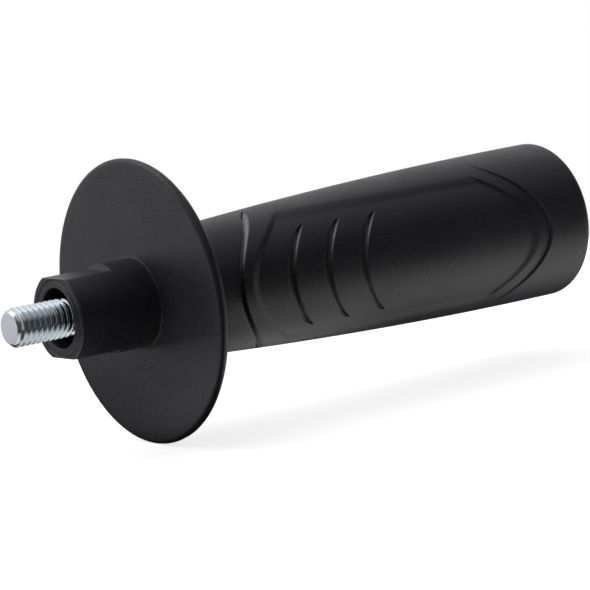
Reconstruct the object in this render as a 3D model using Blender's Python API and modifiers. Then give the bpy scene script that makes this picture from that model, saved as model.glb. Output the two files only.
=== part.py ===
# Side handle for a hand-held power tool: a moulded body, the threaded stud that it turns on with, and an end cap.
# Metres, +Z up. X runs along the handle, and the origin is on its axis in the front face of the collar.
# The stud points to -X. The mould opens along Y, and the spanner flats of the collar face +Z and -Z.
import math

import bmesh
import bpy
import numpy as np

# Clearance between two pieces that meet
FIT_GAP = 0.0003

# Stud: an M8 bolt, its hexagon head held inside the body
STUD_DIAMETER = 0.0079
STUD_LENGTH = 0.045
STUD_REACH = 0.0112
STUD_TIP_CHAMFER = 0.0008
HEAD_ACROSS_FLATS = 0.013
HEAD_HEIGHT = 0.0053
HEAD_CORNER_CHAMFER = 0.0006

# Collar: a round boss with two spanner flats, a ring groove in its face and a recess round the stud
COLLAR_LENGTH = 0.0187
COLLAR_FRONT_RADIUS = 0.0091
COLLAR_BASE_RADIUS = 0.00915
COLLAR_CHAMFER = 0.00025
COLLAR_ROOT_FILLET = 0.0002
FACE_GROOVE_INSET = 0.0012
FACE_GROOVE_WIDTH = 0.00065
FACE_GROOVE_DEPTH = 0.0002
FLATS_ACROSS = 0.016
FLATS_LENGTH = 0.011
FLATS_END_DRAFT = 13
RECESS_RADIUS = 0.0061
RECESS_DEPTH = 0.008

# Guard: the disc that keeps the hand off the tool
GUARD_RADIUS = 0.0292
GUARD_RIM_THICKNESS = 0.0025
GUARD_ROOT_THICKNESS = 0.0034
GUARD_FRONT_ROUND = 0.0011
GUARD_BACK_ROUND = 0.0006

# Grip: its length runs from the front of the guard, its outline is a long arc
GRIP_LENGTH = 0.1093
GRIP_END_RADIUS = 0.0171
GRIP_ARC_RADIUS = 1.25
GRIP_END_ROUND = 0.0015
NECK_FILLET = 0.002

# Curved lines across each side of the grip, seen along the mould's opening.
# A line stands at its place in the middle and bows by height squared over twice its radius.
NECK_CURVE_RADIUS = 0.0101
PANEL_FRONT_CURVE_RADIUS = 0.0072
FINGER_CURVE_RADIUS = 0.009
PANEL_REAR_CURVE_RADIUS = 0.0074
NOSE_CURVE_RADIUS = 0.0096

# Grooves: a steep near wall, a floor and a leaning far wall.
# The one behind the neck runs out near the parting line, at angles round from the middle of the side.
GROOVE_WIDTH = 0.00175
GROOVE_DEPTH = 0.0008
GROOVE_NEAR_WALL = 0.00015
GROOVE_FAR_WALL = 0.0005
NECK_GROOVE_PLACE = 0.01565
NECK_GROOVE_FADE_START = 68
NECK_GROOVE_FADE_END = 79
FINGER_GROOVES = 3
FINGER_GROOVE_PLACE = 0.0285
FINGER_GROOVE_PITCH = 0.00905
FINGER_GROOVE_HALF_HEIGHT = 0.0103
FINGER_GROOVE_END = 0.0009

# Sunk panel, with soft slopes for its edges
PANEL_PLACE = 0.01955
PANEL_TO_END = 0.0145
PANEL_DEPTH = 0.0005
PANEL_HALF_HEIGHT = 0.0136
PANEL_FRONT_SLOPE = 0.0015
PANEL_SIDE_SLOPE = 0.0017
PANEL_REAR_SLOPE = 0.0018

# Sides flattened ahead of the nose line, where they step up to the round end
NOSE_TO_END = 0.01135
NOSE_STEP = 0.0008
NOSE_STEP_RUN = 0.0002
NOSE_HALF_HEIGHT = 0.0163

# Near the parting line nothing sinks past this share of the way to it
OPENING_SHARE = 0.55

# Hollow inside the grip, which lightens the moulding and lets the bolt in
CORE_REAR_RADIUS = 0.0132
CORE_FRONT_RADIUS = 0.0095
HEAD_POCKET_SPARE = 0.002

# End cap: a push-in cap, flush with the end of the grip
CAP_RADIUS = 0.0140
CAP_THICKNESS = 0.0022
CAP_EDGE_ROUND = 0.0004
CAP_SKIRT_LENGTH = 0.009
CAP_SKIRT_WALL = 0.0016

# Fineness of the round shapes
ROUND_STEPS = 72
FILLET_STEPS = 4
PANEL_COLUMNS = 5
MIDDLE_SECTIONS = 7
EDGE_COLUMNS = 5
NECK_COLUMN_SPREAD = 1.03
BOW_PASSES = 5
MERGE_DISTANCE = 0.00001
CUTTER_OVERRUN = 0.002

# Places that follow from the sizes
GUARD_FRONT = COLLAR_LENGTH
GRIP_END = GUARD_FRONT + GRIP_LENGTH
STUD_RADIUS = STUD_DIAMETER / 2
HEAD_SEAT = STUD_LENGTH - STUD_REACH
CORE_FRONT = HEAD_SEAT + HEAD_HEIGHT + HEAD_POCKET_SPARE


def make_material(name, colour, roughness, metallic):
    material = bpy.data.materials.new(name)
    material.use_nodes = True
    shader = material.node_tree.nodes["Principled BSDF"]
    shader.inputs["Base Color"].default_value = (*colour, 1.0)
    shader.inputs["Roughness"].default_value = roughness
    shader.inputs["Metallic"].default_value = metallic
    return material


def make_object(name, mesh, collection, material=None):
    piece = bpy.data.objects.new(name, mesh)
    collection.objects.link(piece)
    if material:
        mesh.materials.append(material)
    else:
        piece.display_type = "WIRE"
        piece.hide_render = True
    return piece


def fillet(centre, radius, start, stop):
    """Points of an arc in a turned profile, from one angle in degrees to another."""
    angles = np.radians(np.linspace(start, stop, FILLET_STEPS + 1))
    return [(centre[0] + radius * math.cos(a), centre[1] + radius * math.sin(a)) for a in angles]


def turn(name, profile, collection, material=None):
    """A turned piece on the X axis, from (radius, place) points that run from the rear forwards."""
    mesh = bpy.data.meshes.new(name)
    points = [(radius, 0.0, place) for radius, place in profile]
    mesh.from_pydata(points, [(i, i + 1) for i in range(len(points) - 1)], [])
    piece = make_object(name, mesh, collection, material)
    piece.rotation_euler = (0.0, math.radians(90), 0.0)
    screw = piece.modifiers.new("Turn", "SCREW")
    screw.axis = "Z"
    screw.steps = ROUND_STEPS
    screw.render_steps = ROUND_STEPS
    screw.use_merge_vertices = True
    screw.merge_threshold = MERGE_DISTANCE
    return piece


def hexagon_bar(name, across_flats, front, rear, collection):
    """A hexagon bar on the X axis with two of its flats facing +Z and -Z."""
    mesh = bpy.data.meshes.new(name)
    bar = bmesh.new()
    corner_radius = across_flats / math.sqrt(3)
    bmesh.ops.create_cone(bar, cap_ends=True, segments=6, radius1=corner_radius, radius2=corner_radius,
                          depth=rear - front)
    bar.to_mesh(mesh)
    bar.free()
    piece = make_object(name, mesh, collection)
    piece.rotation_euler = (0.0, math.radians(90), 0.0)
    piece.location = ((front + rear) / 2, 0.0, 0.0)
    return piece


def flat_cutter(name, side, collection):
    """A block over one spanner flat, +1 for the top or -1 for the bottom. Its end wall leans back by the draft."""
    near = FLATS_ACROSS / 2
    far = COLLAR_BASE_RADIUS + CUTTER_OVERRUN
    width = 2 * far
    mesh = bpy.data.meshes.new(name)
    block = bmesh.new()
    bmesh.ops.create_cube(block, size=1.0)
    bmesh.ops.scale(block, vec=(FLATS_LENGTH + CUTTER_OVERRUN, width, far - near), verts=block.verts)
    lean = (far - near) * math.tan(math.radians(FLATS_END_DRAFT))
    for corner in block.verts:
        if corner.co.x > 0 and corner.co.z * side > 0:
            corner.co.x += lean
    block.to_mesh(mesh)
    block.free()
    piece = make_object(name, mesh, collection)
    piece.location = ((FLATS_LENGTH - CUTTER_OVERRUN) / 2, 0.0, side * (near + far) / 2)
    return piece


def combine(piece, other, operation):
    modifier = piece.modifiers.new(operation.title() + " " + other.name, "BOOLEAN")
    modifier.operation = operation
    modifier.object = other
    modifier.solver = "EXACT"


def grip_radius(place):
    """Radius of the round grip: a long arc that is widest at the rear end."""
    return GRIP_END_RADIUS - (GRIP_END - place) ** 2 / (2 * GRIP_ARC_RADIUS)


def core_radius(place):
    """Radius of the tapered hollow inside the grip."""
    share = (place - CORE_FRONT) / (GRIP_END - CORE_FRONT)
    return CORE_FRONT_RADIUS + (CORE_REAR_RADIUS - CORE_FRONT_RADIUS) * share


def section(place, bow, radius_change=0.0, neck_groove=0.0, finger_groove=0.0, panel=0.0, side=0.0):
    """One section of the grip: its place in the middle, its bow, and its share of each sunk feature."""
    return {"place": place, "bow": bow, "radius_change": radius_change, "neck_groove": neck_groove,
            "finger_groove": finger_groove, "panel": panel, "side": side}


def bow_of(curve_radius):
    return 1 / (2 * curve_radius)


def groove_sections(start, bow, feature, **shares):
    """Four sections over a groove: its near edge, the two sides of its floor and its far edge."""
    end = start + GROOVE_WIDTH
    return [section(start, bow, **shares), section(start + GROOVE_NEAR_WALL, bow, **{feature: 1.0}, **shares),
            section(end - GROOVE_FAR_WALL, bow, **{feature: 1.0}, **shares), section(end, bow, **shares)]


def neck_sections():
    """From inside the guard, through the fillet behind it, to the neck groove."""
    fillet_front = GUARD_FRONT + GUARD_ROOT_THICKNESS
    rows = [section(GUARD_FRONT + GUARD_RIM_THICKNESS / 2, 0.0, NECK_FILLET)]
    for angle in np.radians(np.linspace(0, 90, FILLET_STEPS + 1)):
        rows.append(section(fillet_front + NECK_FILLET * math.sin(angle), 0.0,
                            NECK_FILLET * (1 - math.cos(math.pi / 2 - angle))))
    groove = GUARD_FRONT + NECK_GROOVE_PLACE
    bow = bow_of(NECK_CURVE_RADIUS)
    rows.append(section((rows[-1]["place"] + groove) / 2, bow / 2))
    return rows + groove_sections(groove, bow, "neck_groove")


def panel_sections():
    """The sunk panel with its finger grooves, from its front edge to its rear edge."""
    front = GUARD_FRONT + PANEL_PLACE
    rear = GRIP_END - PANEL_TO_END
    nose = GRIP_END - NOSE_TO_END
    front_bow = bow_of(PANEL_FRONT_CURVE_RADIUS)
    finger_bow = bow_of(FINGER_CURVE_RADIUS)
    rear_bow = -bow_of(PANEL_REAR_CURVE_RADIUS)
    # The rear slope narrows towards the corners, so its foot bows less than its top.
    rear_foot_bow = rear_bow + PANEL_REAR_SLOPE / 2 / PANEL_HALF_HEIGHT ** 2

    def side_share(place):
        return (place - front) / (nose - front)

    foot = front + PANEL_FRONT_SLOPE
    rows = [section(front, front_bow), section(foot, front_bow, panel=1.0, side=side_share(foot))]
    for number in range(FINGER_GROOVES):
        start = GUARD_FRONT + FINGER_GROOVE_PLACE + number * FINGER_GROOVE_PITCH
        half_way = (rows[-1]["place"] + start) / 2
        half_bow = (rows[-1]["bow"] + finger_bow) / 2
        rows.append(section(half_way, half_bow, panel=1.0, side=side_share(half_way)))
        rows += groove_sections(start, finger_bow, "finger_groove", panel=1.0, side=side_share(start))
    last = rows[-1]["place"]
    foot = rear - PANEL_REAR_SLOPE
    for share in np.linspace(0, 1, MIDDLE_SECTIONS + 1)[1:]:
        place = last + (foot - last) * share
        bow = finger_bow + (rear_foot_bow - finger_bow) * share
        rows.append(section(place, bow, panel=1.0, side=side_share(place)))
    rows.append(section(rear, rear_bow, side=side_share(rear)))
    return rows


def end_sections():
    """The step of the nose line, the round end and its rounded edge."""
    nose = GRIP_END - NOSE_TO_END
    bow = -bow_of(NOSE_CURVE_RADIUS)
    rows = [section(nose - NOSE_STEP_RUN, bow, side=1.0), section(nose, bow)]
    edge = GRIP_END - GRIP_END_ROUND
    for share in (1 / 3, 2 / 3):
        rows.append(section(nose + (edge - nose) * share, bow * (1 - share)))
    for angle in np.radians(np.linspace(0, 90, FILLET_STEPS + 1)):
        rows.append(section(edge + GRIP_END_ROUND * math.sin(angle), 0.0,
                            -GRIP_END_ROUND * (1 - math.cos(angle))))
    return rows


def column_heights():
    """Heights of the lengthwise lines of the loft above the middle of the side, up to the panel's edge."""
    groove_foot = FINGER_GROOVE_HALF_HEIGHT - FINGER_GROOVE_END
    inner = list(np.linspace(0, groove_foot, PANEL_COLUMNS + 1))
    return np.array(inner + [FINGER_GROOVE_HALF_HEIGHT, PANEL_HALF_HEIGHT - PANEL_SIDE_SLOPE, PANEL_HALF_HEIGHT])


def section_points(row):
    """Half a section, from the bottom parting line over the side to the top parting line.

    Sunk points keep their place and height and move along the mould's opening, so every groove draws freely.
    """
    heights = column_heights()
    heights = np.concatenate([-heights[:0:-1], heights])
    share_out = np.arange(1, EDGE_COLUMNS + 1) / EDGE_COLUMNS
    place = np.full(len(heights) + 2 * EDGE_COLUMNS, row["place"])
    for _ in range(BOW_PASSES):
        radius = grip_radius(place)
        inner_radius = radius[EDGE_COLUMNS:-EDGE_COLUMNS]
        # Ahead of the panel the neck is too thin for its height, so the lines draw together.
        inner = np.arcsin(heights / np.maximum(inner_radius, NECK_COLUMN_SPREAD * PANEL_HALF_HEIGHT))
        top = inner[-1] + (math.pi / 2 - inner[-1]) * share_out
        bottom = inner[0] - (math.pi / 2 + inner[0]) * share_out
        angle = np.concatenate([bottom[::-1], inner, top])
        height = radius * np.sin(angle)
        place = row["place"] + row["bow"] * height ** 2
    level = np.abs(height)
    round_from_side = np.abs(np.degrees(angle))
    flank = np.clip(1 - (level / NOSE_HALF_HEIGHT) ** 2, 0, 1)
    on_panel = np.clip((PANEL_HALF_HEIGHT - level) / PANEL_SIDE_SLOPE, 0, 1)
    on_finger = np.clip((FINGER_GROOVE_HALF_HEIGHT - level) / FINGER_GROOVE_END, 0, 1)
    on_neck = np.clip((NECK_GROOVE_FADE_END - round_from_side)
                      / (NECK_GROOVE_FADE_END - NECK_GROOVE_FADE_START), 0, 1)
    depth = (row["side"] * NOSE_STEP * flank
             + row["panel"] * PANEL_DEPTH * on_panel
             + row["finger_groove"] * GROOVE_DEPTH * on_finger
             + row["neck_groove"] * GROOVE_DEPTH * on_neck)
    radius = grip_radius(place) + row["radius_change"]
    out = radius * np.cos(angle)
    sunk = depth / np.maximum(np.cos(angle), MERGE_DISTANCE)
    return np.column_stack([place, np.minimum(sunk, OPENING_SHARE * out) - out, radius * np.sin(angle)])


def build_grip(collection):
    """The grip as a loft of bowed sections on one side of the parting plane, mirrored to the other."""
    rows = [section_points(row) for row in neck_sections() + panel_sections() + end_sections()]
    columns = len(rows[0])
    points = np.concatenate(rows)
    points[np.arange(len(rows)) * columns, 1] = 0.0
    points[np.arange(len(rows)) * columns + columns - 1, 1] = 0.0
    faces = []
    for i in range(len(rows) - 1):
        for j in range(columns - 1):
            first = i * columns + j
            faces.append((first, first + columns, first + columns + 1, first + 1))
    front_centre = len(points)
    rear_centre = front_centre + 1
    last = (len(rows) - 1) * columns
    for j in range(columns - 1):
        faces.append((front_centre, j, j + 1))
        faces.append((rear_centre, last + j + 1, last + j))
    centres = [(points[0, 0], 0.0, 0.0), (points[last, 0], 0.0, 0.0)]
    mesh = bpy.data.meshes.new("grip_loft")
    mesh.from_pydata(points.tolist() + centres, [], faces)
    grip = make_object("grip_loft", mesh, collection)
    mirror = grip.modifiers.new("Other side", "MIRROR")
    mirror.use_axis = (False, True, False)
    mirror.merge_threshold = MERGE_DISTANCE
    return grip


def build_body(parts, cutters, material):
    """One moulding: collar, guard and grip, cored from the rear for the bolt."""
    groove_outside = COLLAR_FRONT_RADIUS - FACE_GROOVE_INSET
    groove_inside = groove_outside - FACE_GROOVE_WIDTH
    guard_back = GUARD_FRONT + GUARD_ROOT_THICKNESS
    rim_back = GUARD_FRONT + GUARD_RIM_THICKNESS
    neck_inside = grip_radius(guard_back) / 2
    profile = [(0.0, guard_back), (neck_inside, guard_back)]
    profile += fillet((GUARD_RADIUS - GUARD_BACK_ROUND, rim_back - GUARD_BACK_ROUND), GUARD_BACK_ROUND, 90, 0)
    profile += fillet((GUARD_RADIUS - GUARD_FRONT_ROUND, GUARD_FRONT + GUARD_FRONT_ROUND),
                      GUARD_FRONT_ROUND, 0, -90)
    profile += fillet((COLLAR_BASE_RADIUS + COLLAR_ROOT_FILLET, GUARD_FRONT - COLLAR_ROOT_FILLET),
                      COLLAR_ROOT_FILLET, 90, 180)
    profile += [(COLLAR_FRONT_RADIUS, COLLAR_CHAMFER),
                (COLLAR_FRONT_RADIUS - COLLAR_CHAMFER, 0.0),
                (groove_outside, 0.0),
                (groove_outside - FACE_GROOVE_DEPTH, FACE_GROOVE_DEPTH),
                (groove_inside + FACE_GROOVE_DEPTH, FACE_GROOVE_DEPTH),
                (groove_inside, 0.0),
                (RECESS_RADIUS, 0.0),
                (RECESS_RADIUS, RECESS_DEPTH),
                (0.0, RECESS_DEPTH)]
    body = turn("handle_body", profile, parts, material)
    combine(body, build_grip(cutters), "UNION")

    for name, side in (("top_flat", 1), ("bottom_flat", -1)):
        combine(body, flat_cutter(name, side, cutters), "DIFFERENCE")

    bore_radius = STUD_RADIUS + FIT_GAP
    pocket_floor = HEAD_SEAT - FIT_GAP
    bore_front = RECESS_DEPTH - CUTTER_OVERRUN
    bore = [(0.0, HEAD_SEAT), (bore_radius, HEAD_SEAT), (bore_radius, bore_front), (0.0, bore_front)]
    combine(body, turn("stud_hole", bore, cutters), "DIFFERENCE")
    pocket = hexagon_bar("head_pocket", HEAD_ACROSS_FLATS + 2 * FIT_GAP, pocket_floor,
                         CORE_FRONT + CUTTER_OVERRUN, cutters)
    combine(body, pocket, "DIFFERENCE")
    cap_seat = GRIP_END - CAP_THICKNESS - FIT_GAP
    core = [(0.0, GRIP_END + CUTTER_OVERRUN), (CAP_RADIUS + FIT_GAP, GRIP_END + CUTTER_OVERRUN),
            (CAP_RADIUS + FIT_GAP, cap_seat), (core_radius(cap_seat), cap_seat),
            (CORE_FRONT_RADIUS, CORE_FRONT), (0.0, CORE_FRONT)]
    combine(body, turn("grip_core", core, cutters), "DIFFERENCE")
    return body


def build_stud(parts, cutters, material):
    """The bolt: a turned shank and chamfered head, cut to a hexagon."""
    head_radius = HEAD_ACROSS_FLATS / math.sqrt(3)
    head_end = HEAD_SEAT + HEAD_HEIGHT
    profile = [(0.0, head_end),
               (head_radius - 2 * HEAD_CORNER_CHAMFER, head_end),
               (head_radius, head_end - HEAD_CORNER_CHAMFER),
               (head_radius, HEAD_SEAT),
               (STUD_RADIUS, HEAD_SEAT),
               (STUD_RADIUS, -STUD_REACH + STUD_TIP_CHAMFER),
               (STUD_RADIUS - STUD_TIP_CHAMFER, -STUD_REACH),
               (0.0, -STUD_REACH)]
    stud = turn("threaded_stud", profile, parts, material)
    bar = hexagon_bar("head_flats", HEAD_ACROSS_FLATS, -STUD_REACH - CUTTER_OVERRUN,
                      head_end + CUTTER_OVERRUN, cutters)
    combine(stud, bar, "INTERSECT")
    return stud


def build_cap(parts, material):
    """The cap: a flat disc with a hollow skirt that fits the taper of the grip's core."""
    inside = GRIP_END - CAP_THICKNESS
    skirt_end = inside - CAP_SKIRT_LENGTH
    skirt_top = core_radius(inside) - FIT_GAP
    skirt_foot = core_radius(skirt_end) - FIT_GAP
    profile = [(0.0, GRIP_END)]
    profile += fillet((CAP_RADIUS - CAP_EDGE_ROUND, GRIP_END - CAP_EDGE_ROUND), CAP_EDGE_ROUND, 90, 0)
    profile += [(CAP_RADIUS, inside), (skirt_top, inside), (skirt_foot, skirt_end),
                (skirt_foot - CAP_SKIRT_WALL, skirt_end), (skirt_top - CAP_SKIRT_WALL, inside), (0.0, inside)]
    return turn("end_cap", profile, parts, material)


def clear_scene():
    for old in list(bpy.data.objects):
        bpy.data.objects.remove(old, do_unlink=True)


def main():
    clear_scene()
    parts = bpy.data.collections.new("side_handle")
    cutters = bpy.data.collections.new("side_handle_cutters")
    for collection in (parts, cutters):
        bpy.context.scene.collection.children.link(collection)
    black_nylon = make_material("black_nylon", (0.022, 0.021, 0.023), 0.48, 0.0)
    cap_nylon = make_material("cap_nylon", (0.025, 0.025, 0.027), 0.5, 0.0)
    zinc_plate = make_material("zinc_plate", (0.72, 0.74, 0.77), 0.28, 1.0)
    build_body(parts, cutters, black_nylon)
    build_stud(parts, cutters, zinc_plate)
    build_cap(parts, cap_nylon)
    for piece in parts.objects:
        piece.data.shade_smooth()


main()
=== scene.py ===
import math

import bpy
import numpy as np
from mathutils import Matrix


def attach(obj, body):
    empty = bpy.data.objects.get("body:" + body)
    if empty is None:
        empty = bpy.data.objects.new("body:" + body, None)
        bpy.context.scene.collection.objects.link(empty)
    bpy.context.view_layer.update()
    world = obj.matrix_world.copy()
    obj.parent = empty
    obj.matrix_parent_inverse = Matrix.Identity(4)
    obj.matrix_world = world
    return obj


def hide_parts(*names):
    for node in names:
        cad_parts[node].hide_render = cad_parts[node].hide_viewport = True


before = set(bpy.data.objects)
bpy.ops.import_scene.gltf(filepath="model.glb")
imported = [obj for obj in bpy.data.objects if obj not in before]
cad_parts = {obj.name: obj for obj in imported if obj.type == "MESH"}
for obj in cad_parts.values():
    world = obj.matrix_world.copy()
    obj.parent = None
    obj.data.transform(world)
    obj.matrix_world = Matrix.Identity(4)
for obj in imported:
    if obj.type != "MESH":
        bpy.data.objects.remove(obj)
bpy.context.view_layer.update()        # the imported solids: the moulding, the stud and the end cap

# Dresses the side handle: a fine moulding with its grooves, a stud with a real thread, and their finishes.
# Lengths of the pieces and the camera's place are millimetres, and lengths of the finishes and the studio
# are metres. The handle's axis is X, and its origin is in the collar's face.
mm = 0.001

# the same moulding as the solid, with finer steps, small fillets and a rounder rim
moulding = {
    "studHoleRadius": 4.25, "recessRadius": 6.1, "recessDepth": 8.0, "recessChamfer": 0.15,
    "faceGrooveInside": 7.25, "faceGrooveOutside": 7.9, "faceGrooveDepth": 0.2,
    "collarLength": 18.7, "collarFront": 9.1, "collarBase": 9.15, "collarChamfer": 0.25, "rootFillet": 0.2,
    "flatHeight": 8.0, "flatLength": 11.0, "flatFillet": 0.15, "flatEndDraft": 13.0, "flatEndRise": 0.15,
    "guardRadius": 29.2, "guardRim": 2.5, "guardRoot": 3.4, "guardFrontRound": 0.9, "guardBackRound": 1.55,
    "gripEnd": 128.0, "gripRadius": 17.1, "gripArc": 1250.0, "gripEndRound": 1.5, "neckFillet": 2.0,
    "coreRear": 13.2, "coreFront": 9.5, "corePlace": 41.1, "headPocket": 13.6, "headPlace": 33.5,
    "capSeatRadius": 14.3, "capSeatDepth": 2.5, "capSeatChamfer": 0.15,
}

# lines across the side of the grip. A line's place is on the middle of the side, and its curve is the radius
# that it bows by. Edges keep their height and place as they sink, because the mould opens along Y.
# The neck groove thins out between two angles, and the finger grooves between two heights.
lines = {
    "neckGroove": 34.35, "neckCurve": 10.1, "neckTip": (58, 82), "openShare": 0.55,
    "fingerGroove": 47.2, "fingerPitch": 9.05, "fingerCount": 3, "fingerCurve": 9.0, "fingerTip": (8.3, 10.4),
    "grooveWidth": 1.75, "grooveDepth": 0.8, "nearWall": 0.12, "nearShare": 0.92, "farWall": 0.5,
    # the far walls' painted highlight fades in over a width, and rises in between two heights
    "edgeSoftness": 0.05, "highlightFade": 0.1, "highlightFrom": (-1.0, 4.0),
    "panelFront": 38.1, "panelFrontSlope": 1.8, "panelFrontCurve": 7.2,
    "panelRear": 113.5, "panelRearSlope": 1.8, "panelRearCurve": 7.4, "panelFootCurve": 8.0,
    "panelDepth": 0.5, "panelHeight": 13.6, "panelSideSlope": 1.7, "panelSoftness": 0.2, "frontSoftness": 0.1,
    "nose": 116.65, "noseStep": 0.6, "noseRun": 0.2, "noseHeight": 16.3, "noseCurve": 9.6,
    "noseSoftness": 0.04, "straight": 1e9,
}

# how closely the skin's lines and rings lie: a pair is the step beside a mark and how far the mark reaches
grid = {
    "sideTop": 14.3, "sideStep": 0.5, "tipLead": 0.3, "tipStep": (0.12, 0.9), "panelSideStep": (0.25, 1.1),
    "outerLines": 21, "collarSpread": 1.08, "gripSpread": 1.05, "spreadOver": 8.0,
    "gripStep": 1.5, "noseStep": (0.04, 0.25), "nearWallStep": (0.06, 0.2), "farWallStep": (0.08, 0.2),
    "floorStep": (0.14, 0.6), "panelFrontStep": (0.25, 0.5), "panelRearStep": (0.25, 0.6),
    "hair": 0.01,           # how far apart two rings lie at a sharp inner edge
    "noCeiling": 99.0,
}


def arc(centreX, centreRadius, radius, start, stop, steps):
    # Points (x, radius) of a circular arc from one angle to another, in degrees, 0 along +X and 90 outwards.
    angle = np.radians(np.linspace(start, stop, steps + 1))
    return np.stack([centreX + radius * np.cos(angle), centreRadius + radius * np.sin(angle)], 1)


def divided(start, stop, pieces):
    # Points (x, radius) along a straight stretch of the profile, both ends kept.
    share = np.linspace(0, 1, pieces + 1)[:, None]
    return np.array(start) * (1 - share) + np.array(stop) * share


def softened(values, places, levels, softness):
    # A straight-sided outline with rounded corners: the mean of the outline at nine places round each value.
    shifts = np.linspace(-softness, softness, 9)
    return np.mean([np.interp(values + shift, places, levels) for shift in shifts], axis=0)


def crowded(start, stop, marks, farStep):
    # Places from start to stop whose steps shrink near each mark (place, step there, reach of the mark).
    fine = np.linspace(start, stop, 12000)
    density = np.full_like(fine, 1 / farStep)
    for mark, step, reach in marks:
        extra = (1 / step - 1 / farStep) * np.exp(-((fine - mark) / reach) ** 2)
        density = np.maximum(density, 1 / farStep + extra)
    total = np.concatenate([[0], np.cumsum((density[1:] + density[:-1]) / 2 * np.diff(fine))])
    return np.interp(np.linspace(0, total[-1], int(round(total[-1])) + 1), total, fine)


def skin(name, rings, loop, sharpAngle=38):
    # A closed skin over rings of equal counts: each face joins two neighbours of a ring to the same two of
    # the next. With loop the last ring joins the first, and without it a point closes each end.
    rows, columns = rings.shape[:2]
    index = np.arange(rows * columns).reshape(rows, columns)
    points = rings.reshape(-1, 3)
    near, far = (index, np.roll(index, -1, 0)) if loop else (index[:-1], index[1:])
    faces = np.stack([near, far, np.roll(far, -1, 1), np.roll(near, -1, 1)], -1).reshape(-1, 4).tolist()
    if not loop:
        points = np.concatenate([points, rings[0].mean(0)[None], rings[-1].mean(0)[None]])
        first, last = rows * columns, rows * columns + 1
        faces += np.stack([np.full(columns, first), index[0], np.roll(index[0], -1)], 1).tolist()
        faces += np.stack([np.full(columns, last), np.roll(index[-1], -1), index[-1]], 1).tolist()
    mesh = bpy.data.meshes.new(name)
    mesh.from_pydata((points * mm).tolist(), [], faces)
    mesh.validate()
    mesh.shade_smooth()
    mesh.set_sharp_from_angle(angle=math.radians(sharpAngle))
    piece = bpy.data.objects.new(name, mesh)
    bpy.context.scene.collection.objects.link(piece)
    return piece


# heights of the lengthwise lines up to the panel's edge, then shares of the angle left to the parting line
heights = crowded(0, grid["sideTop"], [(lines["fingerTip"][1] - grid["tipLead"], *grid["tipStep"]),
                                       (lines["panelHeight"] - lines["panelSideSlope"] / 2,
                                        *grid["panelSideStep"])], grid["sideStep"])
outerShares = np.linspace(0, 1, grid["outerLines"] + 1)[1:]


def quarterAngles(inner):
    # Angles from the middle of the side to the parting line: those given, then even steps up to 90 degrees.
    edge = inner[:, -1:]
    return np.concatenate([inner, edge + (math.pi / 2 - edge) * outerShares], 1)


def gatheredAngles(edgeSine):
    # Angles of the lines of each ring: the sine of a line's angle is its share of the greatest height, times
    # the sine that the ring has there.
    return quarterAngles(np.arcsin(np.asarray(edgeSine)[:, None] * heights[None] / heights[-1]))


def mirrored(quarter):
    # Full rings from the quarter that runs from the middle of the side up to the parting line.
    # A fourth value beside x, y and z marks the painted highlight of the upper half, and the lower half gets
    # none.
    lower, back, backLower = [quarter * np.array([1, y, z, max(z, 0)])[:quarter.shape[-1]]
                              for y, z in ((1, -1), (-1, 1), (-1, -1))]
    return np.concatenate([lower[:, :0:-1], quarter, back[:, -2::-1], backLower[:, 1:-1]], 1)


def wholeRings(place, radius, angle, ceiling=None):
    # Full rings from quarter ones: y is minus the radius times the cosine, z is the radius times the sine.
    # A ceiling holds each ring's height down, which planes the two spanner flats.
    high = radius * np.sin(angle)
    if ceiling is not None:
        high = np.minimum(high, ceiling[:, None])
    return mirrored(np.stack([place, -radius * np.cos(angle), high], -1))


def turnedRings(points, edgeSine, ceiling=None):
    # Rings of a turned stretch, one for each (x, radius) point.
    angle = gatheredAngles(edgeSine)
    ones = np.ones_like(angle)
    return wholeRings(points[:, :1] * ones, points[:, 1:] * ones, angle, ceiling)


def hexRadius(angle, acrossFlats):
    # Distance from the centre to the side of a hexagon with a corner at 0 degrees: half its width over the
    # cosine of the angle from the side's middle.
    return acrossFlats / 2 / np.cos(np.mod(angle, math.pi / 3) - math.pi / 6)


def gripRadius(place):
    # The long arc of the grip: the end's radius less the squared distance to the end over twice the arc's
    # radius.
    return moulding["gripRadius"] - (moulding["gripEnd"] - place) ** 2 / (2 * moulding["gripArc"])


def coreRadius(place):
    # The hollow core widens evenly from its front to the end of the grip.
    d = moulding
    return np.interp(place, [d["corePlace"], d["gripEnd"]], [d["coreFront"], d["coreRear"]])


def collarFace():
    # From the floor of the recess up its wall, and over the collar's face with its ring groove.
    d, hair = moulding, grid["hair"]
    inside, outside, drop = d["faceGrooveInside"], d["faceGrooveOutside"], d["faceGrooveDepth"]
    return np.concatenate([
        divided((d["recessDepth"], d["studHoleRadius"]), (d["recessDepth"], d["recessRadius"] - hair), 3),
        divided((d["recessDepth"] - hair, d["recessRadius"]), (d["recessChamfer"], d["recessRadius"]), 6),
        divided((0, d["recessRadius"] + d["recessChamfer"]), (0, inside), 3),
        divided((drop, inside + drop), (drop, outside - drop), 2),
        divided((0, outside), (0, d["collarFront"] - d["collarChamfer"]), 4)])


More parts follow.
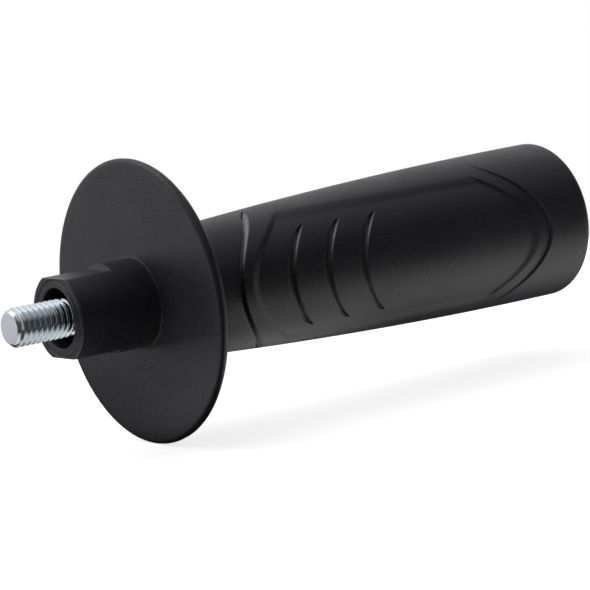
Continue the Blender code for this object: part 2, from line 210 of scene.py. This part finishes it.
def collarSide():
    # The collar's tapered side, and how high the spanner flats let each of its rings rise.
    # A flat runs into its end wall over a fillet that touches both, and the wall leans back by the draft.
    d = moulding
    flat, fillet, draft = d["flatHeight"], d["flatFillet"], math.radians(d["flatEndDraft"])
    turn = np.linspace(0, math.pi / 2 - draft, 5)
    centre = d["flatLength"] + fillet * ((1 - math.sin(draft)) * math.tan(draft) - math.cos(draft))
    footPlaces, footHeights = centre + fillet * np.sin(turn), flat + fillet * (1 - np.cos(turn))
    wallHeights = np.linspace(footHeights[-1], d["collarBase"] + d["flatEndRise"], 9)[1:]
    wallPlaces = d["flatLength"] + (wallHeights - flat) * math.tan(draft)
    frontPlaces = np.linspace(d["collarChamfer"], footPlaces[0], 10)[:-1]
    restPlaces = np.linspace(wallPlaces[-1] + 2 * grid["hair"], d["collarLength"] - d["rootFillet"], 9)
    places = np.concatenate([frontPlaces, footPlaces, wallPlaces, restPlaces])
    ceiling = np.concatenate([np.full(len(frontPlaces), flat), footHeights, wallHeights,
                              np.full(len(restPlaces), grid["noCeiling"])])
    slope = (d["collarBase"] - d["collarFront"]) / d["collarLength"]
    return np.stack([places, d["collarFront"] + slope * places], 1), ceiling


def guardSide():
    # From the fillet at the collar's root up the guard's face, round its rim and down its back.
    d = moulding
    front, base = d["collarLength"], d["collarBase"] + d["rootFillet"]
    back, neckFront = front + d["guardRim"], front + d["guardRoot"]
    frontTop, backTop = d["guardRadius"] - d["guardFrontRound"], d["guardRadius"] - d["guardBackRound"]
    return np.concatenate([
        arc(front - d["rootFillet"], base, d["rootFillet"], -90, 0, 5)[1:],
        divided((front, base), (front, frontTop), 14)[1:],
        arc(front + d["guardFrontRound"], frontTop, d["guardFrontRound"], 180, 90, 8)[1:],
        arc(back - d["guardBackRound"], backTop, d["guardBackRound"], 90, 0, 5),
        divided((back, backTop), (neckFront, gripRadius(neckFront) + d["neckFillet"]), 7)[1:]])


def neckBend():
    # The fillet from the guard's back into the grip.
    d = moulding
    bend = np.radians(np.linspace(0, 90, 7))[1:]
    places = d["collarLength"] + d["guardRoot"] + d["neckFillet"] * (1 - np.cos(bend))
    return np.stack([places, gripRadius(places) + d["neckFillet"] * (1 - np.sin(bend))], 1)


def frontRings():
    # From the floor of the recess over the collar and the guard to the neck. On the collar the lines gather
    # up to the edge of the flats, and over the guard's face they spread to where they lie on the grip.
    d = moulding
    base = d["collarBase"] + d["rootFillet"]
    face, (side, sideCeiling), guard, neck = collarFace(), collarSide(), guardSide(), neckBend()
    points = np.concatenate([face, side, guard, neck])
    ceiling = np.concatenate([np.full(len(face), d["flatHeight"]), sideCeiling,
                              np.full(len(guard) + len(neck), grid["noCeiling"])])
    collarSine = d["flatHeight"] / np.maximum(points[:, 1], d["flatHeight"] * grid["collarSpread"])
    away = np.clip((points[:, 1] - base) / grid["spreadOver"], 0, 1)
    away[-len(neck):] = 1
    return turnedRings(points, collarSine * (1 - away) + 1 / grid["gripSpread"] * away, ceiling)


def grooveStarts():
    # Places of the near edges of the neck groove and the finger grooves.
    d = lines
    fingers = [d["fingerGroove"] + number * d["fingerPitch"] for number in range(d["fingerCount"])]
    return [d["neckGroove"]] + fingers


def grooveShare(row, start, level, tip):
    # Depth of one groove as a share: a steep near wall, a floor that deepens slightly, a leaning far wall.
    # Towards its tips it narrows and shallows to its far edge by the square root of one minus a square.
    # The second value marks the far wall: streaked and glossier, and in the upper half painted paler as a
    # highlight.
    d = lines
    far = start + d["grooveWidth"]
    narrow = np.sqrt(np.maximum(1 - np.clip((level - tip[0]) / (tip[1] - tip[0]), 0, 1) ** 2, 1e-6))
    across = far - (far - row) / narrow
    foot = far - d["farWall"]
    share = softened(across, [start, start + d["nearWall"], foot, far],
                     [0, d["nearShare"], 1, 0], d["edgeSoftness"])
    wall = np.interp(across, [foot - d["highlightFade"], foot, far - d["highlightFade"], far], [0, 1, 1, 0])
    return np.stack([share * narrow, wall * narrow])


def sunkDepth(row, height, angle):
    # How far the skin lies under the round grip. Each feature is an outline along the handle times one across
    # it: the flattened side up to the nose line, the panel, the finger grooves and the neck groove.
    d = lines
    level = np.abs(height)
    side = softened(row, [d["panelFront"], d["nose"] - d["noseRun"], d["nose"]], [0, 1, 0],
                    d["noseSoftness"])
    panelAlong = softened(row, [d["panelFront"], d["panelFront"] + d["panelFrontSlope"],
                                d["panelRear"] - d["panelRearSlope"], d["panelRear"]], [0, 1, 1, 0],
                          d["frontSoftness"])
    panelAcross = softened(level, [d["panelHeight"] - d["panelSideSlope"], d["panelHeight"]], [1, 0],
                           d["panelSoftness"])
    neck, *fingers = grooveStarts()
    grooves = grooveShare(row, neck, np.degrees(angle), d["neckTip"])
    grooves = grooves + sum(grooveShare(row, start, level, d["fingerTip"]) for start in fingers)
    depth = (d["noseStep"] * side * np.clip(1 - (level / d["noseHeight"]) ** 2, 0, 1)
             + d["panelDepth"] * np.minimum(panelAlong, panelAcross) + d["grooveDepth"] * grooves[0])
    # the second value: the far walls' painted highlight, only above a height
    return depth, grooves[1] * np.interp(height, d["highlightFrom"], [0, 1])


def gripRows(neckEnd, edge):
    # Places of the rings on the middle of the side, crowded at each line, and the bow of each ring, which is
    # half of one over its curve.
    d, g = lines, grid
    slopeEnd, foot = d["panelFront"] + d["panelFrontSlope"], d["panelRear"] - d["panelRearSlope"]
    lastGroove = grooveStarts()[-1] + d["grooveWidth"]
    marks = [(d["nose"] - d["noseRun"] / 2, *g["noseStep"])]
    for start in grooveStarts():
        far = start + d["grooveWidth"]
        marks += [(start + d["nearWall"] / 2, *g["nearWallStep"]), (far - d["farWall"], *g["farWallStep"]),
                  (far, *g["farWallStep"]), (start + d["grooveWidth"] / 2, *g["floorStep"])]
    marks += [(place, *g["panelFrontStep"]) for place in (d["panelFront"], slopeEnd)]
    marks += [(place, *g["panelRearStep"]) for place in (foot, d["panelRear"])]
    row = crowded(neckEnd, edge, marks, g["gripStep"])[1:]
    curves = [(neckEnd, d["straight"]),
              (d["neckGroove"], d["neckCurve"]), (d["neckGroove"] + d["grooveWidth"], d["neckCurve"]),
              (d["panelFront"], d["panelFrontCurve"]), (slopeEnd, d["panelFrontCurve"]),
              (d["fingerGroove"], d["fingerCurve"]), (lastGroove, d["fingerCurve"]),
              (foot, -d["panelFootCurve"]), (d["panelRear"], -d["panelRearCurve"]),
              (d["nose"] - d["noseRun"], -d["noseCurve"]), (d["nose"], -d["noseCurve"]),
              (edge, d["straight"])]
    places, radii = np.array(curves).T
    return row[:, None], np.interp(row, places, 0.5 / radii)[:, None]


def gripRings():
    # The grip from the neck to its rounded end, with a fourth value that marks where the grooves' far walls
    # get a painted highlight. A ring's x is its middle place plus its bow times the height squared, so that a
    # ring runs along each groove. A point sinks along Y by its depth over the cosine of its angle, and never
    # past a share of the way to the parting plane.
    neckEnd = moulding["collarLength"] + moulding["guardRoot"] + moulding["neckFillet"]
    row, bow = gripRows(neckEnd, moulding["gripEnd"] - moulding["gripEndRound"])
    place = row + np.zeros((1, len(heights) + len(outerShares)))
    for _ in range(5):      # the place and the radius depend on each other, and settle in five rounds
        radius = gripRadius(place)
        widest = np.maximum(radius[:, :len(heights)], grid["gripSpread"] * grid["sideTop"])
        angle = quarterAngles(np.arcsin(heights[None] / widest))
        high = radius * np.sin(angle)
        place = row + bow * high ** 2
    radius = gripRadius(place)
    out = radius * np.cos(angle)
    depth, walls = sunkDepth(row, high, angle)
    sunk = np.minimum(depth / np.maximum(np.cos(angle), 1e-6), lines["openShare"] * out)
    return mirrored(np.stack([place, sunk - out, radius * np.sin(angle), walls], -1))


def rearRings():
    # The rounded end, the seat of the cap, the tapered core, the hexagon pocket and the hole for the stud.
    # The lines gather here as closely as the narrow end of the core asks for.
    d, hair = moulding, grid["hair"]
    end, chamfer = d["gripEnd"], d["capSeatChamfer"]
    seat = end - d["capSeatDepth"]
    bend = np.radians(np.linspace(0, 90, 8))[1:]
    places = end - d["gripEndRound"] + d["gripEndRound"] * np.sin(bend)
    points = np.concatenate([
        np.stack([places, gripRadius(places) - d["gripEndRound"] * (1 - np.cos(bend))], 1),
        divided((end, d["gripRadius"] - d["gripEndRound"]), (end, d["capSeatRadius"] + chamfer), 3)[1:],
        divided((end - chamfer, d["capSeatRadius"]), (seat, d["capSeatRadius"]), 3),
        divided((seat, d["capSeatRadius"] - 2 * hair), (seat, coreRadius(seat)), 2),
        divided((seat - 2 * hair, coreRadius(seat)), (d["corePlace"], d["coreFront"]), 12)])
    edgeSine = d["flatHeight"] / d["coreFront"]
    angle = gatheredAngles([edgeSine, edgeSine])
    pocketPlaces = np.array([[d["corePlace"]], [d["headPlace"]]]) + 0 * angle
    return np.concatenate([
        turnedRings(points, np.full(len(points), edgeSine)),
        wholeRings(pocketPlaces, hexRadius(angle, d["headPocket"]), angle),
        turnedRings(np.array([(d["headPlace"], d["studHoleRadius"])]), [edgeSine])])


print("making the moulding")
front, middle, rear = frontRings(), gripRings(), rearRings()
rings = np.concatenate([front, middle[..., :3], rear])
# the painted highlight on the grooves' far walls in the upper half, a value for each point
upperWallHighlight = np.zeros(rings.shape[:2])
upperWallHighlight[len(front):len(front) + len(middle)] = middle[..., 3]
gripBody = skin("mouldedHandle", rings, loop=True)
marked = gripBody.data.attributes.new("upperWallHighlight", "FLOAT", "POINT")
marked.data.foreach_set("value", upperWallHighlight.ravel())
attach(gripBody, "root")
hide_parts("handle_body")
print("moulding: rings and points", rings.shape[:2])

# the bolt: an M8 thread on its reach and just into the moulding, a plain shank, a hexagon head in the pocket
bolt = {
    "radius": 3.95, "pitch": 1.25, "threadDepth": 0.74, "crestShare": 0.125, "rootShare": 0.22,
    "softness": 0.08, "tip": -11.2, "tipRadius": 3.15, "tipSlope": 0.85, "threadEnd": 9.5, "runOut": 1.2,
    "shankLead": 0.5, "headSeat": 33.8, "headHeight": 5.3, "headWidth": 13.0, "headChamfer": 0.6,
    "tipShares": (0.35, 0.7, 0.97), "backShare": 0.5, "columns": 96, "ringsPerPitch": 40, "sharpAngle": 55,
}


def threadRadius(place, angle):
    # Radius of the thread: a ridge whose phase is the place less a pitch for each turn, with a flat crest and
    # root, held inside the cone of the tip and fading out towards the plain shank.
    d = bolt
    phase = np.mod(place / d["pitch"] - angle / (2 * math.pi), 1.0)
    fromCrest = np.minimum(phase, 1 - phase) * 2
    groove = softened(fromCrest, [d["crestShare"], 1 - d["rootShare"]], [0, 1], d["softness"])
    fade = np.interp(place, [d["threadEnd"] - d["runOut"], d["threadEnd"]], [1, 0])
    cone = d["tipRadius"] + (place - d["tip"]) * d["tipSlope"]
    return np.minimum(d["radius"] - d["threadDepth"] * groove * fade, cone)


def boltRings():
    # Rings of the bolt from its tip to the back of its head, whose corners a cone trims.
    d = bolt
    angle = np.linspace(0, 2 * math.pi, d["columns"], endpoint=False)[None]
    steps = int((d["threadEnd"] - d["tip"]) / d["pitch"] * d["ringsPerPitch"])
    place = np.linspace(d["tip"], d["threadEnd"], steps)[:, None]
    thread = threadRadius(place, angle)
    facePlace = np.full((len(d["tipShares"]), 1), d["tip"])
    face = np.array(d["tipShares"])[:, None] * np.minimum(thread[0], d["tipRadius"])[None]
    shankPlace = np.array([[d["threadEnd"] + d["shankLead"]], [(d["threadEnd"] + d["headSeat"]) / 2],
                           [d["headSeat"]]])
    shank = np.full((len(shankPlace), d["columns"]), d["radius"])
    headPlace = np.array([0, d["headHeight"] - d["headChamfer"], d["headHeight"]])[:, None] + d["headSeat"]
    corner = d["headWidth"] / math.sqrt(3)
    cone = np.array([corner, corner, corner - 2 * d["headChamfer"]])[:, None]
    head = np.minimum(hexRadius(angle, d["headWidth"]), cone)
    places = np.concatenate([facePlace, place, shankPlace, headPlace, headPlace[-1:]])
    radii = np.concatenate([face, thread, shank, head, head[-1:] * d["backShare"]])
    return np.stack([places + 0 * angle, -radii * np.cos(angle), radii * np.sin(angle)], -1)


print("making the stud")
stud = skin("threadedBolt", boltRings(), loop=False, sharpAngle=bolt["sharpAngle"])
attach(stud, "root")
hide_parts("threaded_stud")

# the cap that closes the hollow end
cap = {
    "end": 128.0, "radius": 14.0, "thickness": 2.2, "edgeRound": 0.4, "skirtLength": 9.0, "skirtWall": 1.6,
    "clearance": 0.3, "innermost": 1.0, "columns": 180,
}


def capRings():
    # Rings of the cap from the middle of its inner face, down the inside of the skirt and up its outside,
    # then round the edge and over the outer face.
    d, hair = cap, grid["hair"]
    inside = d["end"] - d["thickness"]
    foot = inside - d["skirtLength"]
    outerTop, outerFoot = coreRadius([inside, foot]) - d["clearance"]
    points = np.concatenate([
        divided((inside, d["innermost"]), (inside, outerTop - d["skirtWall"]), 6),
        divided((inside - hair, outerTop - d["skirtWall"]), (foot, outerFoot - d["skirtWall"]), 4),
        divided((foot, outerFoot), (inside - hair, outerTop), 4),
        divided((inside, outerTop + hair), (inside, d["radius"]), 2),
        arc(d["end"] - d["edgeRound"], d["radius"] - d["edgeRound"], d["edgeRound"], 90, 0, 6),
        divided((d["end"], d["radius"] - d["edgeRound"]), (d["end"], d["innermost"]), 12)[1:]])
    angle = np.linspace(0, 2 * math.pi, d["columns"], endpoint=False)[None]
    place, radius = points[:, :1], points[:, 1:]
    return np.stack([place + 0 * angle, -radius * np.cos(angle), radius * np.sin(angle)], -1)


print("making the cap")
capPiece = skin("pushInCap", capRings(), loop=False)
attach(capPiece, "root")
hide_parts("end_cap")


# finishes
def feed(tree, node, values):
    # Each input takes a constant, or a link where the value is another node's socket.
    for key, value in values.items():
        if isinstance(value, bpy.types.NodeSocket):
            tree.links.new(value, node.inputs[key])
        else:
            node.inputs[key].default_value = value


def addNode(tree, kind, settings=None, values=None):
    # A node with its settings and what its inputs take.
    made = tree.nodes.new(kind)
    for key, value in (settings or {}).items():
        setattr(made, key, value)
    feed(tree, made, values or {})
    return made


def maths(tree, operation, first, *others):
    # The operation on two values, then on the result and the next. Each is a socket or a number.
    for value in others:
        first = addNode(tree, "ShaderNodeMath", {"operation": operation}, {0: first, 1: value}).outputs[0]
    return first


def addShare(tree, base, source, share):
    # The base plus a share of the source.
    return addNode(tree, "ShaderNodeMath", {"operation": "MULTIPLY_ADD"},
                   {0: source, 1: share, 2: base}).outputs[0]


def ramp(tree, source, low, high, lowValue, highValue, shape="SMOOTHSTEP"):
    # A step of a value from one number to another, smooth or straight. Low may lie above high.
    return addNode(tree, "ShaderNodeMapRange", {"interpolation_type": shape},
                   {"Value": source, "From Min": low, "From Max": high,
                    "To Min": lowValue, "To Max": highValue}).outputs[0]


def noise(tree, place, scale, detail, roughness=0.5):
    # Cloudy noise at a place, from 0 to 1.
    return addNode(tree, "ShaderNodeTexNoise", None,
                   {"Vector": place, "Scale": scale, "Detail": detail, "Roughness": roughness}).outputs[0]


def mixValues(tree, share, first, second):
    # On a mix node, inputs 2 and 3 are the two values and output 0 is their mix.
    return addNode(tree, "ShaderNodeMix", None, {0: share, 2: first, 3: second}).outputs[0]


def mixColours(tree, share, first, second):
    # On a mix node, inputs 6 and 7 are the two colours and output 2 is their mix.
    colours = {index: (*colour, 1) if isinstance(colour, tuple) else colour
               for index, colour in ((6, first), (7, second))}
    return addNode(tree, "ShaderNodeMix", {"data_type": "RGBA"}, {0: share, **colours}).outputs[2]


def newGroup(name, inputs, outputs):
    # A shader node group with named sockets: an input is (name, kind, default), an output is (name, kind).
    group = bpy.data.node_groups.new(name, "ShaderNodeTree")
    for label, kind, value in inputs:
        socket = group.interface.new_socket(name=label, in_out="INPUT", socket_type=kind)
        socket.default_value = value
    for label, kind in outputs:
        group.interface.new_socket(name=label, in_out="OUTPUT", socket_type=kind)
    return group, group.nodes.new("NodeGroupInput"), group.nodes.new("NodeGroupOutput")


# grain of the spark-eroded mould. The pits' and speckle's scales are shares of one over the grain size.
grain = {
    "fineDetail": 3.0, "fineRoughness": 0.65, "pitScale": 0.55, "pitSmoothness": 0.6, "pitHeight": 0.6,
    "speckleScale": 0.4, "speckleDetail": 1.0, "speckleHeight": 0.35, "speckleRange": (0.32, 0.68),
    "driftScale": 90.0, "driftDetail": 4.0, "driftRoughness": 0.6,
}
dust = {"edge": 0.05, "core": 0.02}     # radii of a speck, as shares of the spacing


def makeGrainGroup():
    # The height is fine noise plus a share of small rounded pits and of a coarser speckle. The speckle also
    # comes out by itself, and so does a slow drift of tone.
    d = grain
    group, source, result = newGroup(
        "mouldGrain",
        [("Position", "NodeSocketVector", (0, 0, 0)), ("Grain Size", "NodeSocketFloat", 0.0003)],
        [("Height", "NodeSocketFloat"), ("Drift", "NodeSocketFloat"), ("Speckle", "NodeSocketFloat")])
    place = source.outputs["Position"]
    scale = maths(group, "DIVIDE", 1.0, source.outputs["Grain Size"])
    fine = noise(group, place, scale, d["fineDetail"], d["fineRoughness"])
    pits = addNode(group, "ShaderNodeTexVoronoi", {"feature": "SMOOTH_F1"},
                   {"Vector": place, "Scale": maths(group, "MULTIPLY", scale, d["pitScale"]),
                    "Smoothness": d["pitSmoothness"]})
    speckle = noise(group, place, maths(group, "MULTIPLY", scale, d["speckleScale"]), d["speckleDetail"])
    pitted = addShare(group, fine, pits.outputs["Distance"], d["pitHeight"])
    feed(group, result, {
        "Height": addShare(group, pitted, speckle, d["speckleHeight"]),
        "Drift": noise(group, place, d["driftScale"], d["driftDetail"], d["driftRoughness"]),
        "Speckle": ramp(group, speckle, *d["speckleRange"], 0.0, 1.0, "LINEAR")})
    return group


def makeDustGroup():
    # Loose specks: small discs in the middle of a few cells of a random pattern, chosen by the cell's number.
    group, source, result = newGroup(
        "dustSpecks",
        [("Position", "NodeSocketVector", (0, 0, 0)), ("Spacing", "NodeSocketFloat", 0.004),
         ("Share", "NodeSocketFloat", 0.2)],
        [("Mask", "NodeSocketFloat")])
    scale = maths(group, "DIVIDE", 1.0, source.outputs["Spacing"])
    cells = addNode(group, "ShaderNodeTexVoronoi", None,
                    {"Vector": source.outputs["Position"], "Scale": scale})
    number = addNode(group, "ShaderNodeSeparateColor", None, {0: cells.outputs["Color"]}).outputs[0]
    chosen = maths(group, "LESS_THAN", number, source.outputs["Share"])
    disc = ramp(group, cells.outputs["Distance"], dust["edge"], dust["core"], 0.0, 1.0, "LINEAR")
    feed(group, result, {"Mask": maths(group, "MULTIPLY", chosen, disc)})
    return group


grainGroup = makeGrainGroup()
dustGroup = makeDustGroup()

nylon = {
    "colour": (0.0065, 0.0060, 0.0075), "paleColour": (0.0270, 0.0250, 0.0300), "speckleShare": 0.65,
    "grainSize": 0.0002, "grainDepth": 0.00003, "roughLow": 0.36, "roughHigh": 0.46, "roughRange": (0.3, 0.7),
    # the far walls' paler colour is a painted highlight, and the coat makes them glossier
    "wallHighlightColour": (0.030, 0.031, 0.032), "coatRough": 0.3, "coatIor": 1.7,
    "streakStretch": (1.0, 0.12, 1.0), "streakScale": 5000.0, "streakDetail": 2.0,
    "streakRange": (0.3, 0.6), "streakLeast": 0.45,
    "dustColour": (0.20, 0.19, 0.18), "dustSpacing": 0.005, "dustShare": 0.1,
}
capNylon = {**nylon, "roughLow": 0.4, "roughHigh": 0.5}
zinc = {
    "colour": (0.66, 0.725, 0.765), "warmColour": (0.79, 0.765, 0.66), "warmRange": (0.5, 0.8),
    "warmMost": 0.6, "patchScale": 420.0, "patchDetail": 3.0, "roughLow": 0.10, "roughHigh": 0.18,
    "grainScale": 5200.0, "grainDetail": 2.0, "grainStrength": 0.6, "grainDepth": 0.000001,
}


def newMaterial(name):
    # A material, its node tree and its shader.
    made = bpy.data.materials.new(name)
    made.use_nodes = True
    return made, made.node_tree, made.node_tree.nodes["Principled BSDF"]


def makeNylon(name, d):
    # Black glass-filled nylon: near-black with a slow drift of tone, satin, pitted by the mould's grain, with
    # a few specks. On the grooves' far walls it is streaked and glossier, and in the upper half painted paler
    # as a highlight.
    made, tree, shader = newMaterial(name)
    place = addNode(tree, "ShaderNodeTexCoord").outputs["Object"]
    grained = addNode(tree, "ShaderNodeGroup", {"node_tree": grainGroup},
                      {"Position": place, "Grain Size": d["grainSize"]}).outputs
    dusted = addNode(tree, "ShaderNodeGroup", {"node_tree": dustGroup},
                     {"Position": place, "Spacing": d["dustSpacing"], "Share": d["dustShare"]}).outputs
    walls = addNode(tree, "ShaderNodeAttribute", {"attribute_name": "upperWallHighlight"}).outputs["Fac"]
    stretched = addNode(tree, "ShaderNodeMapping", None, {"Vector": place, "Scale": d["streakStretch"]})
    streaks = noise(tree, stretched.outputs[0], d["streakScale"], d["streakDetail"])
    streaked = ramp(tree, streaks, *d["streakRange"], d["streakLeast"], 1.0, "LINEAR")
    # the painted highlight: the upper far walls, broken by streaks, paler and glossier
    marks = maths(tree, "MULTIPLY", walls, streaked)
    tone = mixValues(tree, d["speckleShare"], grained["Drift"], grained["Speckle"])
    black = mixColours(tree, tone, d["colour"], d["paleColour"])
    dusty = mixColours(tree, dusted["Mask"], black, d["dustColour"])
    bump = addNode(tree, "ShaderNodeBump", None,
                   {"Strength": 1.0, "Distance": d["grainDepth"], "Height": grained["Height"]})
    feed(tree, shader, {
        "Base Color": mixColours(tree, marks, dusty, d["wallHighlightColour"]),
        "Roughness": ramp(tree, grained["Drift"], *d["roughRange"], d["roughLow"], d["roughHigh"], "LINEAR"),
        "Coat Weight": marks, "Coat Roughness": d["coatRough"], "Coat IOR": d["coatIor"],
        "Normal": bump.outputs[0]})
    return made


def makeZinc(name, d):
    # Bright zinc plate: bluish silver, warm where the passivation is thicker, with a fine crystal grain.
    made, tree, shader = newMaterial(name)
    place = addNode(tree, "ShaderNodeTexCoord").outputs["Object"]
    patches = noise(tree, place, d["patchScale"], d["patchDetail"])
    crystals = noise(tree, place, d["grainScale"], d["grainDetail"])
    warm = ramp(tree, patches, *d["warmRange"], 0.0, d["warmMost"], "LINEAR")
    bump = addNode(tree, "ShaderNodeBump", None,
                   {"Strength": d["grainStrength"], "Distance": d["grainDepth"], "Height": crystals})
    feed(tree, shader, {
        "Base Color": mixColours(tree, warm, d["colour"], d["warmColour"]), "Metallic": 1.0,
        "Roughness": ramp(tree, crystals, 0.0, 1.0, d["roughLow"], d["roughHigh"], "LINEAR"),
        "Normal": bump.outputs[0]})
    return made


print("finishing the pieces")
gripBody.data.materials.append(makeNylon("satinNylon", nylon))
capPiece.data.materials.append(makeNylon("capNylon", capNylon))
stud.data.materials.append(makeZinc("zincPlate", zinc))

# the studio: a white table that the object sees dark as painted shade, with patches that glow as painted
# pools of light, a pale sweep behind it and overhead, a soft box high on the left, dim panels at both sides,
# and a dark room behind the camera. A pair is where a soft edge starts and ends.
studio = {
    "tableLeft": -0.30, "tableRight": 0.40, "tableFront": -0.30, "tableBack": 0.13, "tableRough": 0.9,
    # the table's colour to the object is dark, as painted shade
    "tableColour": 0.80, "tableShadeToObject": 0.10, "tableGlow": 0.72, "farGlow": 1.0, "farEdge": (0.06, 0.12),
    "gripLight": 1.14, "gripFront": (-0.095, -0.035), "gripBack": (0.002, -0.021),
    "gripLeft": (0.032, 0.050), "gripRise": (-0.20, 0.20), "neckReach": 0.022, "neckEdge": (0.055, 0.095),
    "studLight": 0.85, "studFront": (-0.06, -0.035), "studBack": (0.024, 0.008),
    "studLeft": (-0.06, -0.035), "studRight": (0.010, 0.002),
    "studReach": 0.012, "studEdge": (-0.034, -0.020),
    "sweepLeft": 0.90, "sweepRight": 0.74, "sweepAlong": (-0.5, 0.5), "sweepAcross": (-0.1, 0.5),
    "overhead": 0.55, "overheadEdge": (0.45, 0.95), "room": 0.068, "under": 0.08, "lowEdge": (-0.30, -0.06),
    "fromLeft": 0.35, "leftEdge": (-0.7, -0.92),
    "fromRight": 0.55, "rightEdge": (0.62, 0.9), "rightTop": (0.22, -0.05),
    "softBox": 1.95, "softBoxAt": (-0.32, 0.45, 0.835), "softBoxEdge": (0.82, 0.97),
    "backdropAt": (0.53, 0.84, -0.13), "backdropEdge": (0.978, 0.9925), "tint": (0.970, 0.955, 1.0),
}
camera = {
    "place": (-278.68, -464.46, 73.50), "turn": (82.127, 6.442, -36.845), "lens": 168.14, "sensor": 36.0,
    "near": 0.01, "far": 20.0,
}


def softPatch(tree, light, *edges):
    # A patch of light with soft edges: its strength times a smooth step over each edge (source, start, end).
    return maths(tree, "MULTIPLY", light, *[ramp(tree, *edge, 0.0, 1.0) for edge in edges])


def aimed(tree, direction, aim, edge, level):
    # A round soft-edged part of the world: a smooth step of the cosine between a direction and its aim.
    cosine = addNode(tree, "ShaderNodeVectorMath", {"operation": "DOT_PRODUCT"}, {0: direction, 1: aim})
    return ramp(tree, cosine.outputs["Value"], *edge, 0.0, level)


def makeTable():
    # The white table that the guard's rim touches. The camera sees it glow, purely white beyond the object's
    # shadow. The object sees it dark, as painted shade, but for a patch under the grip, which reaches further
    # back beside the neck, and a patch under the stud, which reaches further back close to it: these patches
    # glow as painted pools of light.
    d = studio
    low = -moulding["guardRadius"] * mm
    corners = [(d["tableLeft"], d["tableFront"], low), (d["tableRight"], d["tableFront"], low),
               (d["tableRight"], d["tableBack"], low), (d["tableLeft"], d["tableBack"], low)]
    mesh = bpy.data.meshes.new("table")
    mesh.from_pydata(corners, [], [(0, 1, 2, 3)])
    table = bpy.data.objects.new("table", mesh)
    bpy.context.scene.collection.objects.link(table)
    made, tree, shader = newMaterial("whiteTable")
    place = addNode(tree, "ShaderNodeTexCoord").outputs["Object"]
    along, across, _ = addNode(tree, "ShaderNodeSeparateXYZ", None, {0: place}).outputs
    byNeck = maths(tree, "SUBTRACT", across, ramp(tree, along, *d["neckEdge"], d["neckReach"], 0.0))
    byStud = maths(tree, "SUBTRACT", across, ramp(tree, along, *d["studEdge"], 0.0, d["studReach"]))
    # painted pools of light: the patches under the grip and the stud glow to the object
    underGrip = softPatch(tree, d["gripLight"], (across, *d["gripFront"]), (byNeck, *d["gripBack"]),
                          (along, *d["gripRise"]), (along, *d["gripLeft"]))
    underStud = softPatch(tree, d["studLight"], (along, *d["studRight"]), (along, *d["studLeft"]),
                          (across, *d["studFront"]), (byStud, *d["studBack"]))
    seen = ramp(tree, across, *d["farEdge"], d["tableGlow"], d["farGlow"])
    toCamera = addNode(tree, "ShaderNodeLightPath").outputs["Is Camera Ray"]
    # to the object the table is dark as painted shade, and glows in the painted pools of light
    feed(tree, shader, {
        "Base Color": mixColours(tree, toCamera, (d["tableShadeToObject"],) * 3, (d["tableColour"],) * 3),
        "Roughness": d["tableRough"], "Specular IOR Level": 0.0, "Emission Color": (1, 1, 1, 1),
        "Emission Strength": mixValues(tree, toCamera, maths(tree, "MAXIMUM", underGrip, underStud), seen)})
    mesh.materials.append(made)


def makeRoom():
    # The world by direction. To the camera it is plain white, and so is the backdrop behind the object to
    # glossy and transmission rays. In other directions the object sees the studio.
    d = studio
    world = bpy.data.worlds.new("room")
    bpy.context.scene.world = world
    world.use_nodes = True
    tree = world.node_tree
    direction = addNode(tree, "ShaderNodeTexCoord").outputs["Generated"]
    x, y, z = addNode(tree, "ShaderNodeSeparateXYZ", None, {0: direction}).outputs
    behind = maths(tree, "MULTIPLY", ramp(tree, y, *d["sweepAcross"], d["room"], 1.0),
                   ramp(tree, x, *d["sweepAlong"], d["sweepLeft"], d["sweepRight"]))
    above = ramp(tree, z, *d["overheadEdge"], d["room"], d["overhead"])
    left = softPatch(tree, d["fromLeft"], (x, *d["leftEdge"]))
    right = softPatch(tree, d["fromRight"], (x, *d["rightEdge"]), (z, *d["rightTop"]))
    lifted = ramp(tree, z, *d["lowEdge"], 0.0, 1.0)
    upper = maths(tree, "MULTIPLY", maths(tree, "MAXIMUM", behind, above, left, right), lifted)
    lower = maths(tree, "MULTIPLY", maths(tree, "SUBTRACT", 1.0, lifted), d["under"])
    softBox = aimed(tree, direction, d["softBoxAt"], d["softBoxEdge"], d["softBox"])
    light = maths(tree, "MAXIMUM", upper, softBox, lower)
    rays = addNode(tree, "ShaderNodeLightPath").outputs
    mirrorRays = maths(tree, "MAXIMUM", rays["Is Glossy Ray"], rays["Is Transmission Ray"])
    backdrop = aimed(tree, direction, d["backdropAt"], d["backdropEdge"], 1.0)
    white = maths(tree, "MAXIMUM", rays["Is Camera Ray"], maths(tree, "MULTIPLY", mirrorRays, backdrop))
    feed(tree, tree.nodes["Background"], {
        "Strength": mixValues(tree, white, light, 1.0),
        "Color": mixColours(tree, white, d["tint"], (1, 1, 1))})


def makeCamera():
    # The camera stands where the photograph's outlines of the stud, collar, guard and grip put it.
    data = bpy.data.cameras.new("view")
    data.lens, data.sensor_width = camera["lens"], camera["sensor"]
    data.clip_start, data.clip_end = camera["near"], camera["far"]
    seen = bpy.data.objects.new("view", data)
    bpy.context.scene.collection.objects.link(seen)
    seen.location = [value * mm for value in camera["place"]]
    seen.rotation_euler = [math.radians(value) for value in camera["turn"]]
    bpy.context.scene.camera = seen


print("setting the studio")
makeTable()
makeRoom()
makeCamera()
bpy.context.scene.view_settings.view_transform = "Standard"
